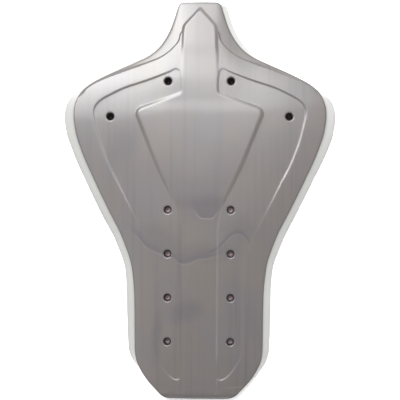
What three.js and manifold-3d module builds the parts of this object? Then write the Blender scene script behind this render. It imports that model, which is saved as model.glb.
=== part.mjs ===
// Back protector for a riding jacket: one piece of moulded foam, lying face up.
// Millimetres, +Z up, neck tab towards +Y, origin under the middle of its bounding box.
import * as THREE from 'three';
import { mergeVertices } from 'three/addons/utils/BufferGeometryUtils.js';
import Module from 'manifold-3d';

const wasm = await Module();
wasm.setup();

// Driving dimensions
const padLength = 440; // bottom edge to the end of the neck tab
const faceHalfWidth = 140; // centre line to the widest point of the face's edge
const faceHeight = 14; // face edge above the surface that the pad lies on
const crownHeight = 4; // how much the middle of the face stands above its edge
const edgeLand = 1; // upright land under the face's edge
const wallFlare = 11; // how far the side walls spread out below the face
const rimRound = 2.5; // chamfer under the side walls
const rimWidth = 9; // flat rim that the pad rests on
const archHeight = 5; // depth of the hollow rear
const panelRise = 1.2; // centre panel above the face
const panelSlope = 2.8; // plan width of the panel's side, down to a pocket's floor
const panelHalfWidth = 19; // half width of the panel's arrow and of its lower band
const panelWing = 70; // half width of the panel's wide part
const pocketDepth = 2.2; // pocket floor below the face, where it is deepest
const pocketSlope = 1.8; // plan width of a pocket's outer side
const creaseStep = 0.9; // drop from the face to the flange round the neck
const creaseSlope = 1.2; // plan width of that drop
const flangeFall = 2; // how much lower the flange is at its outer edge
const ventDiameter = 8.3;
const ventLip = 1.1; // chamfer round each vent
const ventSides = 14;
const ventSpacing = 69.5; // between the two columns of vents
const ventPitch = 48.5; // between the rows of the lower vents
const lowerVentRows = 4;
const firstVentRow = -10.7; // y of the highest of those rows
const upperVentRow = 131.3; // y of the two vents beside the neck
const shoulderVent = { x: 98.9, y: 92.4 };
const columns = 12; // faces across the pad
const rowSpacing = 16; // longest face along the pad
const cornerSteps = 3; // chords in a rounded corner, or between two points of a curve
const longestChord = 14; // on a straight side
const spare = 6; // how far cutting solids reach past what they cut
const slopeRunOn = 0.4; // share of its height that a sloping side runs on at each end
const ceiling = faceHeight + crownHeight + panelRise + spare; // top of those solids
const padColour = 0x8d8b89;

// The face's edge, from the bottom up. Lengths are shares: along of padLength, half of
// faceHalfWidth, flare of wallFlare.
const outline = [
  { along: 0, half: 0.235, flare: 0 },
  { along: 0.0035, half: 0.27, flare: 0 },
  { along: 0.0101, half: 0.301, flare: 0 },
  { along: 0.0252, half: 0.347, flare: 0 },
  { along: 0.0454, half: 0.404, flare: 0.05 },
  { along: 0.0731, half: 0.462, flare: 0.3 },
  { along: 0.0984, half: 0.495, flare: 0.6 },
  { along: 0.1236, half: 0.505, flare: 0.8 },
  { along: 0.25, half: 0.51, flare: 0.88 },
  { along: 0.3253, half: 0.53, flare: 0.86 },
  { along: 0.401, half: 0.604, flare: 0.95 },
  { along: 0.4767, half: 0.722, flare: 0.95 },
  { along: 0.5523, half: 0.837, flare: 0.95 },
  { along: 0.628, half: 0.941, flare: 0.98 },
  { along: 0.6784, half: 0.988, flare: 1 },
  { along: 0.7137, half: 1, flare: 1 },
  { along: 0.7289, half: 0.998, flare: 0.95 },
  { along: 0.7465, half: 0.985, flare: 0.8 },
  { along: 0.7717, half: 0.945, flare: 0.4 },
  { along: 0.7894, half: 0.885, flare: 0.15 },
  { along: 0.8071, half: 0.791, flare: 0.05 },
  { along: 0.8285, half: 0.649, flare: 0.05 },
  { along: 0.855, half: 0.463, flare: 0.1 },
  { along: 0.8651, half: 0.401, flare: 0.15 },
  { along: 0.8903, half: 0.311, flare: 0.18 },
  { along: 0.9306, half: 0.234, flare: 0.18 },
  { along: 0.9811, half: 0.18, flare: 0.15 },
  { along: 0.9912, half: 0.171, flare: 0.1 },
  { along: 0.9975, half: 0.155, flare: 0 },
  { along: 1, half: 0.132, flare: 0 },
];

// How high the face is along the pad: level is a share of faceHeight, crown of
// crownHeight, hollow of archHeight, pocket of pocketDepth, and flange of creaseStep and
// flangeFall.
const heights = [
  { along: 0, level: 0.76, crown: 0.3, hollow: 0, pocket: 0.6, flange: 0.1 },
  { along: 0.005, level: 0.93, crown: 0.45, hollow: 0, pocket: 0.6, flange: 0.1 },
  { along: 0.012, level: 1, crown: 0.5, hollow: 0, pocket: 0.6, flange: 0.1 },
  { along: 0.1, level: 1, crown: 0.85, hollow: 0.8, pocket: 0.55, flange: 0.1 },
  { along: 0.3, level: 1, crown: 0.95, hollow: 1, pocket: 0.4, flange: 0.1 },
  { along: 0.5, level: 1, crown: 1, hollow: 1, pocket: 0.65, flange: 0.1 },
  { along: 0.65, level: 1, crown: 1, hollow: 1, pocket: 1, flange: 0.1 },
  { along: 0.755, level: 1, crown: 0.95, hollow: 0.95, pocket: 1, flange: 0.25 },
  { along: 0.8, level: 1, crown: 0.9, hollow: 0.9, pocket: 1, flange: 0.7 },
  { along: 0.88, level: 0.94, crown: 0.6, hollow: 0.5, pocket: 1, flange: 1 },
  { along: 1, level: 0.76, crown: 0.25, hollow: 0, pocket: 1, flange: 1 },
];

// Right half of the raised panel's top edge, from its point to the bottom of the pad.
// wide is a share of panelWing or panelHalfWidth, along of padLength, and round is the
// corner's radius as a share of panelHalfWidth.
const panelEdge = [
  { from: panelHalfWidth, wide: 0, along: 0.988, round: 0.2 },
  { from: panelHalfWidth, wide: 0.96, along: 0.9375, round: 0.35 },
  { from: panelHalfWidth, wide: 0.98, along: 0.767, round: 0.25 },
  { from: panelWing, wide: 0.995, along: 0.7245, round: 0.35 },
  { from: panelWing, wide: 0.66, along: 0.592, round: 0.5 },
  { from: panelHalfWidth, wide: 1.05, along: 0.465, round: 1.2 },
  { from: panelHalfWidth, wide: 1.03, along: -0.06, round: 0 },
];

// Outer edge of the right pocket, from its inner top corner round to its lower end.
// half is a share of faceHalfWidth and along of padLength.
const pocketEdge = [
  { half: 0.13, along: 0.821 },
  { half: 0.155, along: 0.8275 },
  { half: 0.182, along: 0.8325 },
  { half: 0.24, along: 0.8245 },
  { half: 0.396, along: 0.8053 },
  { half: 0.593, along: 0.7845 },
  { half: 0.712, along: 0.7667 },
  { half: 0.79, along: 0.7523 },
  { half: 0.836, along: 0.7345 },
  { half: 0.844, along: 0.716 },
  { half: 0.823, along: 0.6835 },
  { half: 0.787, along: 0.6406 },
  { half: 0.718, along: 0.585 },
  { half: 0.657, along: 0.5473 },
  { half: 0.554, along: 0.4817 },
  { half: 0.451, along: 0.4187 },
  { half: 0.396, along: 0.3733 },
  { half: 0.362, along: 0.3253 },
  { half: 0.352, along: 0.25 },
  { half: 0.348, along: 0.13 },
  { half: 0.32, along: 0.0958 },
  { half: 0.249, along: 0.0618 },
  { half: 0.182, along: 0.0472 },
  { half: 0.13, along: 0.052 },
];

// Where the face drops to the flange, from the panel out past the shoulder.
const creaseEdge = [
  { half: 0.1, along: 0.93 },
  { half: 0.143, along: 0.923 },
  { half: 0.166, along: 0.9 },
  { half: 0.206, along: 0.884 },
  { half: 0.249, along: 0.8713 },
  { half: 0.316, along: 0.858 },
  { half: 0.396, along: 0.8474 },
  { half: 0.665, along: 0.8171 },
  { half: 0.823, along: 0.7957 },
  { half: 0.902, along: 0.779 },
  { half: 0.96, along: 0.76 },
  { half: 1.3, along: 0.7 },
];

// Smooth value of one column of a table, which doesn't overshoot its rows.
function valueAt(rows, column, along) {
  const last = rows.length - 1;
  const secant = (i) =>
    (rows[i + 1][column] - rows[i][column]) / (rows[i + 1].along - rows[i].along);
  const slope = (i) => {
    const before = secant(Math.max(0, i - 1));
    const after = secant(Math.min(last - 1, i));
    return before * after <= 0 ? 0 : (2 * before * after) / (before + after);
  };
  const at = THREE.MathUtils.clamp(along, 0, 1);
  let i = 0;
  while (i < last - 1 && rows[i + 1].along < at) i += 1;
  const span = rows[i + 1].along - rows[i].along;
  const t = (at - rows[i].along) / span;
  const startPart = (1 + 2 * t) * (1 - t) ** 2 * rows[i][column];
  const endPart = t * t * (3 - 2 * t) * rows[i + 1][column];
  const bend = t * (1 - t) ** 2 * slope(i) - t * t * (1 - t) * slope(i + 1);
  return startPart + endPart + bend * span;
}

const yOf = (along) => (along - 0.5) * padLength;
const alongOf = (y) => y / padLength + 0.5;
const halfWidthAt = (along) => faceHalfWidth * valueAt(outline, 'half', along);

// Distance from the centre line as a share of the half width, held just past the edge.
const acrossAt = (x, y) => Math.min(1.1, Math.abs(x) / halfWidthAt(alongOf(y)));

// Heights of the surfaces over a point of the plan.
function faceZ(x, y) {
  const along = alongOf(y);
  const crown = crownHeight * valueAt(heights, 'crown', along);
  return faceHeight * valueAt(heights, 'level', along) + crown * (1 - acrossAt(x, y) ** 2);
}
const panelZ = (x, y) => faceZ(x, y) + panelRise;
const pocketZ = (x, y) =>
  faceZ(x, y) - pocketDepth * valueAt(heights, 'pocket', alongOf(y));
function flangeZ(x, y) {
  const drop = creaseStep + flangeFall * acrossAt(x, y) ** 6;
  return faceZ(x, y) - drop * valueAt(heights, 'flange', alongOf(y));
}

// One row of the pad's plan for each step along it, with the edge's outward direction.
function makeRows() {
  const shares = [];
  for (let i = 0; i < outline.length - 1; i += 1) {
    const { along } = outline[i];
    const span = outline[i + 1].along - along;
    const steps = Math.ceil((span * padLength) / rowSpacing);
    for (let k = 0; k < steps; k += 1) shares.push(along + (span * k) / steps);
  }
  shares.push(1);
  const rows = shares.map((along) => ({
    along,
    half: halfWidthAt(along),
    y: yOf(along),
    flare: wallFlare * valueAt(outline, 'flare', along),
  }));
  rows.forEach((row, i) => {
    const before = rows[Math.max(0, i - 1)];
    const after = rows[Math.min(rows.length - 1, i + 1)];
    const normal = new THREE.Vector2(after.y - before.y, before.half - after.half);
    row.normal = normal.normalize();
  });
  return rows;
}

const rows = makeRows();

// The same rows moved outwards, by a distance worked out for each.
const spreadRows = (distance) =>
  rows.map((row) => ({
    half: row.half + distance(row) * row.normal.x,
    y: row.y + distance(row) * row.normal.y,
  }));

// The rows of an edge that lies further in all round.
const shrunkRows = (inset) =>
  rows.map((row) => ({
    half: row.half - inset * Math.min(1, row.half / (3 * inset)),
    y: row.y * (1 - (2 * inset) / padLength),
  }));

// Points of a sheet of faces over a set of rows, one list for each row.
const sheetPoints = (plan, height) =>
  plan.map((row) =>
    Array.from({ length: columns + 1 }, (_, i) => {
      const x = row.half * ((2 * i) / columns - 1);
      return new THREE.Vector3(x, row.y, height(x, row.y));
    })
  );

// The outer edge of such a sheet, anticlockwise from its lower left corner.
const rimOf = (sheet) => [
  ...sheet[0],
  ...sheet.slice(1).map((row) => row[columns]),
  ...sheet[sheet.length - 1].slice(0, columns).reverse(),
  ...sheet.slice(1, -1).map((row) => row[0]).reverse(),
];

class Skin {
  constructor() {
    this.positions = [];
  }

  triangle(a, b, c) {
    for (const point of [a, b, c]) this.positions.push(point.x, point.y, point.z);
  }

  quad(a, b, c, d) {
    this.triangle(a, b, c);
    this.triangle(a, c, d);
  }

  sheet(points, up) {
    for (let j = 0; j < points.length - 1; j += 1) {
      for (let i = 0; i < points[j].length - 1; i += 1) {
        const corners = [points[j][i], points[j][i + 1], points[j + 1][i + 1], points[j + 1][i]];
        this.quad(...(up ? corners : corners.reverse()));
      }
    }
  }

  // Faces between two closed loops that run anticlockwise, the lower one first.
  band(lower, upper) {
    lower.forEach((point, i) => {
      const next = (i + 1) % lower.length;
      this.quad(point, lower[next], upper[next], upper[i]);
    });
  }

  cap(loop, up) {
    const flat = loop.map((point) => new THREE.Vector2(point.x, point.y));
    for (const [a, b, c] of THREE.ShapeUtils.triangulateShape(flat, [])) {
      if (up) this.triangle(loop[a], loop[b], loop[c]);
      else this.triangle(loop[a], loop[c], loop[b]);
    }
  }

  solid() {
    const geometry = new THREE.BufferGeometry();
    geometry.setAttribute('position', new THREE.Float32BufferAttribute(this.positions, 3));
    return solidOf(geometry);
  }
}

function solidOf(geometry) {
  geometry.deleteAttribute('normal');
  geometry.deleteAttribute('uv');
  const merged = mergeVertices(geometry);
  return new wasm.Manifold(
    new wasm.Mesh({
      numProp: 3,
      vertProperties: new Float32Array(merged.attributes.position.array),
      triVerts: new Uint32Array(merged.index.array),
    })
  );
}

// The whole pad as high as its panel: upright land, flared wall, rim and hollow rear.
function makeBlank() {
  const top = sheetPoints(rows, panelZ);
  const rearRows = shrunkRows(rimWidth);
  const rear = sheetPoints(rearRows, () => 0);
  rear.forEach((points, j) => {
    const hollow = archHeight * valueAt(heights, 'hollow', rows[j].along);
    for (const point of points) {
      point.z = hollow * (1 - (point.x / rearRows[j].half) ** 2);
    }
  });
  const foot = spreadRows((row) => row.flare);
  const sole = spreadRows((row) => row.flare - rimRound);
  const loops = [
    rimOf(rear),
    rimOf(sheetPoints(sole, () => 0)),
    rimOf(sheetPoints(foot, () => rimRound)),
    rimOf(sheetPoints(rows, (x, y) => faceZ(x, y) - edgeLand)),
    rimOf(top),
  ];
  const skin = new Skin();
  skin.sheet(top, true);
  skin.sheet(rear, false);
  for (let i = 0; i < loops.length - 1; i += 1) skin.band(loops[i], loops[i + 1]);
  return skin.solid();
}

// Everything above a surface, well past the pad's edges.
function above(surface) {
  const ends = rows.length - 1;
  const wide = rows.map((row, i) => {
    const past = i === 0 ? -spare : i === ends ? spare : 0;
    return { half: row.half + spare, y: row.y + past };
  });
  const low = sheetPoints(wide, surface);
  const high = sheetPoints(wide, () => ceiling);
  const skin = new Skin();
  skin.sheet(low, false);
  skin.sheet(high, true);
  skin.band(rimOf(low), rimOf(high));
  return skin.solid();
}

// A closed outline whose side slopes up from the lower surface, where it is spread
// sideways, to the upper one. The slope runs on past both, and then the side is upright.
function ringSolid(points, spread, lower, upper) {
  const normals = points.map((_, i) => {
    const before = points[(i + points.length - 1) % points.length];
    const after = points[(i + 1) % points.length];
    return new THREE.Vector2(after.y - before.y, before.x - after.x).normalize();
  });
  const loop = (share, height) =>
    points.map((point, i) => {
      const x = point.x + share * spread * normals[i].x;
      const y = point.y + share * spread * normals[i].y;
      return new THREE.Vector3(x, y, height(x, y));
    });
  const drop = (x, y) => slopeRunOn * (upper(x, y) - lower(x, y));
  const loops = [
    loop(1 + slopeRunOn, () => -spare),
    loop(1 + slopeRunOn, (x, y) => lower(x, y) - drop(x, y)),
    loop(-slopeRunOn, (x, y) => upper(x, y) + drop(x, y)),
    loop(-slopeRunOn, () => ceiling),
  ];
  const skin = new Skin();
  skin.cap(loops[0], false);
  for (let i = 0; i < loops.length - 1; i += 1) skin.band(loops[i], loops[i + 1]);
  skin.cap(loops[loops.length - 1], true);
  return skin.solid();
}

// Points along a path, in chords short enough to follow the crowned face.
function stepped(path) {
  const points = [];
  for (const curve of path.curves) {
    const chords = Math.ceil(curve.getLength() / longestChord);
    const steps = curve.isLineCurve ? chords : cornerSteps;
    for (let k = 0; k < steps; k += 1) points.push(curve.getPoint(k / steps));
  }
  return points;
}

// A smooth curve through the rows of a table, on one side of the pad.
function curveThrough(table, side) {
  const points = table.map(
    (row) => new THREE.Vector2(side * row.half * faceHalfWidth, yOf(row.along))
  );
  return new THREE.SplineCurve(points).getPoints((points.length - 1) * cornerSteps);
}

// A path whose corners are rounded, each by its own radius.
function roundedPath(corners) {
  const path = new THREE.Path();
  corners.forEach((corner, i) => {
    const before = corners[(i + corners.length - 1) % corners.length].point;
    const after = corners[(i + 1) % corners.length].point;
    const toward = (other) =>
      corner.point.clone().lerp(other, Math.min(0.45, corner.round / corner.point.distanceTo(other)));
    const start = toward(before);
    const end = toward(after);
    if (i === 0) path.moveTo(start.x, start.y);
    else path.lineTo(start.x, start.y);
    if (corner.round > 0) path.quadraticCurveTo(corner.point.x, corner.point.y, end.x, end.y);
  });
  path.closePath();
  return path;
}

function makePanel() {
  const right = panelEdge.map((row) => ({
    point: new THREE.Vector2(row.from * row.wide, yOf(row.along)),
    round: row.round * panelHalfWidth,
  }));
  const left = right.slice(1).map(({ point, round }) => ({
    point: new THREE.Vector2(-point.x, point.y),
    round,
  }));
  const corners = [...left, ...right.slice().reverse()];
  const foot = (x, y) => faceZ(x, y) - pocketDepth;
  return ringSolid(stepped(roundedPath(corners)), panelSlope, foot, panelZ);
}

// The part of the pad that stands above the flange, on both sides of the neck.
function makeBody() {
  const right = curveThrough(creaseEdge, 1);
  right.push(new THREE.Vector2(right[right.length - 1].x, yOf(0) - spare));
  const left = right.map((point) => new THREE.Vector2(-point.x, point.y)).reverse();
  const foot = (x, y) => faceZ(x, y) - creaseStep;
  return ringSolid([...right, ...left].reverse(), creaseSlope, foot, faceZ);
}

function makePocket(side) {
  const points = curveThrough(pocketEdge, side);
  const hidden = side * (panelHalfWidth - spare);
  points.push(new THREE.Vector2(hidden, points[points.length - 1].y));
  points.push(new THREE.Vector2(hidden, points[0].y));
  if (side > 0) points.reverse();
  return ringSolid(points, -pocketSlope, pocketZ, faceZ);
}

// A straight hole with a chamfered lip in the pocket's floor.
function makeVent(x, y) {
  const radius = ventDiameter / 2;
  const floor = pocketZ(x, y);
  const profile = [
    [0, -spare],
    [radius, -spare],
    [radius, floor - ventLip],
    [radius + 2 * ventLip, floor + ventLip],
    [0, floor + ventLip],
  ].map(([across, up]) => new THREE.Vector2(across, up));
  const vent = new THREE.LatheGeometry(profile, ventSides);
  vent.rotateX(Math.PI / 2);
  vent.translate(x, y, 0);
  return solidOf(vent);
}

function ventPlaces() {
  const places = [{ x: ventSpacing / 2, y: upperVentRow }, shoulderVent];
  for (let row = 0; row < lowerVentRows; row += 1) {
    places.push({ x: ventSpacing / 2, y: firstVentRow - row * ventPitch });
  }
  return places.flatMap(({ x, y }) => [{ x, y }, { x: -x, y }]);
}

function makePad() {
  const panel = makePanel();
  let pad = makeBlank().subtract(above(faceZ).subtract(panel));
  pad = pad.subtract(above(flangeZ).subtract(makeBody()).subtract(panel));
  for (const side of [-1, 1]) {
    pad = pad.subtract(makePocket(side).intersect(above(pocketZ)).subtract(panel));
  }
  for (const { x, y } of ventPlaces()) pad = pad.subtract(makeVent(x, y));
  return pad;
}

function meshOf(solid, name, material) {
  const { vertProperties, triVerts } = solid.getMesh();
  const geometry = new THREE.BufferGeometry();
  geometry.setAttribute('position', new THREE.BufferAttribute(vertProperties, 3));
  geometry.setIndex(new THREE.BufferAttribute(triVerts, 1));
  geometry.computeVertexNormals();
  const mesh = new THREE.Mesh(geometry, material);
  mesh.name = name;
  return mesh;
}

const foamSkin = new THREE.MeshStandardMaterial({
  color: padColour,
  roughness: 0.4,
  metalness: 0,
});

const protector = new THREE.Group();
protector.add(meshOf(makePad(), 'protector_pad', foamSkin));

export default protector;
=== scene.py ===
"""Back protector: a moulded foam pad lying face up on a pale studio floor.

The pad is one moulding, so it is one piece. Its shape is worked out in
millimetres from named sizes and turned to metres when its mesh is made.
"""

import logging
import math
from dataclasses import dataclass, field
from enum import Enum
from typing import Callable, Sequence

import bmesh
import bpy
import numpy as np
from mathutils import Matrix, Vector, noise
from mathutils.geometry import delaunay_2d_cdt
from mathutils.kdtree import KDTree


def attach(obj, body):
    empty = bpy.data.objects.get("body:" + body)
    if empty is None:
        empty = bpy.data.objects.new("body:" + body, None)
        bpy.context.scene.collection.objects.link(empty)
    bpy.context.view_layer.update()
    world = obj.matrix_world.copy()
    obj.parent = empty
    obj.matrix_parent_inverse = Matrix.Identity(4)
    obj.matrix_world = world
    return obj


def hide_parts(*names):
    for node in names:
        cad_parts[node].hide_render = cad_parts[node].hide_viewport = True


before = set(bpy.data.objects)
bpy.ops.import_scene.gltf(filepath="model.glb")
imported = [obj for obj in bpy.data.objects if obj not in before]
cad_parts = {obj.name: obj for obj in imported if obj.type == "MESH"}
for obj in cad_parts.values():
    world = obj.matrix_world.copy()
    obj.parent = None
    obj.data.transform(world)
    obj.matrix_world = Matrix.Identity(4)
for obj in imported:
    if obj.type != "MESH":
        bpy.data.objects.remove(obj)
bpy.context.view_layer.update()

LOG = logging.getLogger("back_protector")
MM = 0.001
Points = np.ndarray


class Side(Enum):
    """A side of the pad, seen from its face."""

    LEFT = -1
    RIGHT = 1


class Mark(Enum):
    """What is marked on the mesh's points, for the skin's tones: painted light and painted
    shade.
    """

    # Painted light: the side walls paler than the face
    WALL = "side_wall"
    # Painted shade along the crease, the face's edges and the foot of the side wall
    LINE = "parting_line"
    # Painted shade inside the vents
    VENT = "vent_wall"
    # Painted light on the webs of the lower vents
    WEB = "vent_web"


@dataclass(frozen=True)
class Table:
    """A short table of shares along the pad, read with a smooth curve.

    Attributes:
        along: Place of each row, as a share of the pad's length from its bottom.
        columns: The named columns, a value for each row.
    """

    along: tuple[float, ...]
    columns: dict[str, tuple[float, ...]]

    @classmethod
    def of(cls, names: str, *rows: tuple[float, ...]) -> "Table":
        """Makes a table from rows that start with their place along the pad.

        Args:
            names: The names of the columns after the first.
            rows: The rows, from the bottom of the pad up.

        Returns:
            The table.
        """
        along, *values = zip(*rows)
        return cls(along, dict(zip(names.split(), values)))

    def at(self, name: str, along: Points) -> Points:
        """Reads a column with a curve that doesn't overshoot its rows.

        Args:
            name: The column.
            along: Places along the pad.

        Returns:
            The values there.
        """
        x, y = np.array(self.along), np.array(self.columns[name])
        secant = np.diff(y) / np.diff(x)
        before, after = np.append(secant[0], secant), np.append(secant, secant[-1])
        product = before * after
        total = np.where(product > 0, before + after, 1)
        slope = np.where(product > 0, 2 * product / total, 0)
        place = np.clip(along, 0, 1)
        i = np.clip(np.searchsorted(x, place, side="left") - 1, 0, len(x) - 2)
        span = x[i + 1] - x[i]
        t = (place - x[i]) / span
        ends = (1 + 2 * t) * (1 - t) ** 2 * y[i] + t * t * (3 - 2 * t) * y[i + 1]
        bend = t * (1 - t) ** 2 * slope[i] - t * t * (1 - t) * slope[i + 1]
        return ends + bend * span


def smooth_max(a: Points, b: Points, blend: float) -> Points:
    """Returns the higher of two heights, rounded where they meet by about blend."""
    return 0.5 * (a + b + np.sqrt((a - b) ** 2 + blend**2))


def smooth_min(a: Points, b: Points, blend: float) -> Points:
    """Returns the lower of two heights, rounded where they meet by about blend."""
    return -smooth_max(-a, -b, blend)


def smoothstep(low: float, high: float, value: Points) -> Points:
    """Returns a smooth step from 0 at low to 1 at high, which may be the smaller."""
    t = np.clip((value - low) / (high - low), 0, 1)
    return t * t * (3 - 2 * t)


def catmull_rom(points: Points, steps: int) -> Points:
    """Draws a smooth open curve through points.

    Args:
        points: The points, a row each.
        steps: How many chords lie between two of them.

    Returns:
        The points of the curve.
    """
    before = np.vstack([points[:1], points[:-1]])[:-1]
    start, end = points[:-1], points[1:]
    after = np.vstack([points[2:], points[-1:]])
    curve = []
    for t in np.arange(steps) / steps:
        pull = (end - before) * t + (2 * before - 5 * start + 4 * end - after) * t**2
        pull = pull + (3 * start - before - 3 * end + after) * t**3
        curve.append(start + 0.5 * pull)
    drawn = np.stack(curve, 1).reshape(-1, 2)
    return np.vstack([drawn, points[-1:]])


def rounded(corners: Sequence[tuple[float, float, float]], steps: int) -> Points:
    """Draws a closed outline with rounded corners.

    Args:
        corners: x, y and rounding of each corner.
        steps: Chords in each rounding.

    Returns:
        The points of the outline.
    """
    drawn = []
    for i, (x, y, radius) in enumerate(corners):
        here = np.array((x, y))
        before, after = (np.array(corners[k][:2]) for k in (i - 1, (i + 1) % len(corners)))
        ends = []
        for other in (before, after):
            reach = min(0.45, radius / np.linalg.norm(other - here))
            ends.append(here + (other - here) * reach)
        for t in np.linspace(0, 1, steps + 1):
            drawn.append((1 - t) ** 2 * ends[0] + 2 * t * (1 - t) * here + t * t * ends[1])
    return np.array(drawn)


class Outline:
    """A closed outline in plan, anticlockwise, with evenly spaced points."""

    def __init__(self, points: Points, spacing: float) -> None:
        """Spaces the points evenly.

        Args:
            points: The outline's corners, in millimetres.
            spacing: About how far apart its points are to be.
        """
        x, y = points.T
        if np.sum(x * np.roll(y, -1) - y * np.roll(x, -1)) < 0:
            points = points[::-1]
        closed = np.vstack([points, points[:1]])
        steps = np.linalg.norm(np.diff(closed, axis=0), axis=1)
        closed = closed[np.append(True, steps > 1e-6)]
        run = np.append(0, np.cumsum(np.linalg.norm(np.diff(closed, axis=0), axis=1)))
        count = int(run[-1] / spacing)
        at = np.linspace(0, run[-1], count, endpoint=False)
        self.points = np.stack([np.interp(at, run, closed[:, k]) for k in (0, 1)], 1)
        ahead, behind = np.roll(self.points, -1, 0), np.roll(self.points, 1, 0)
        along = ahead - behind
        normal = np.stack([along[:, 1], -along[:, 0]], 1)
        self.normals = normal / np.linalg.norm(normal, axis=1)[:, None]

    def distance(self, places: Points) -> Points:
        """Measures how far places lie outside the outline.

        Args:
            places: Points in plan.

        Returns:
            The distances, negative inside.
        """
        start, end = self.points, np.roll(self.points, -1, 0)
        result = np.empty(len(places))
        for low in range(0, len(places), 4000):
            block = places[low : low + 4000, None, :]
            side = end - start
            t = np.sum((block - start) * side, -1) / np.sum(side**2, -1)
            nearest = start + np.clip(t, 0, 1)[..., None] * side
            gap = np.linalg.norm(block - nearest, axis=-1).min(1)
            y = block[..., 1]
            crosses = (start[:, 1] > y) != (end[:, 1] > y)
            rise = np.where(side[:, 1] == 0, 1, side[:, 1])
            at = start[:, 0] + (y - start[:, 1]) * side[:, 0] / rise
            inside = np.sum(crosses & (block[..., 0] < at), 1) % 2 == 1
            result[low : low + 4000] = np.where(inside, -gap, gap)
        return result

    def ring(self, outwards: float) -> Points:
        """Returns the points of an outline further out, without those that fold over."""
        moved = self.points + outwards * self.normals
        return moved[np.abs(self.distance(moved) - outwards) < 0.08]


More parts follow.
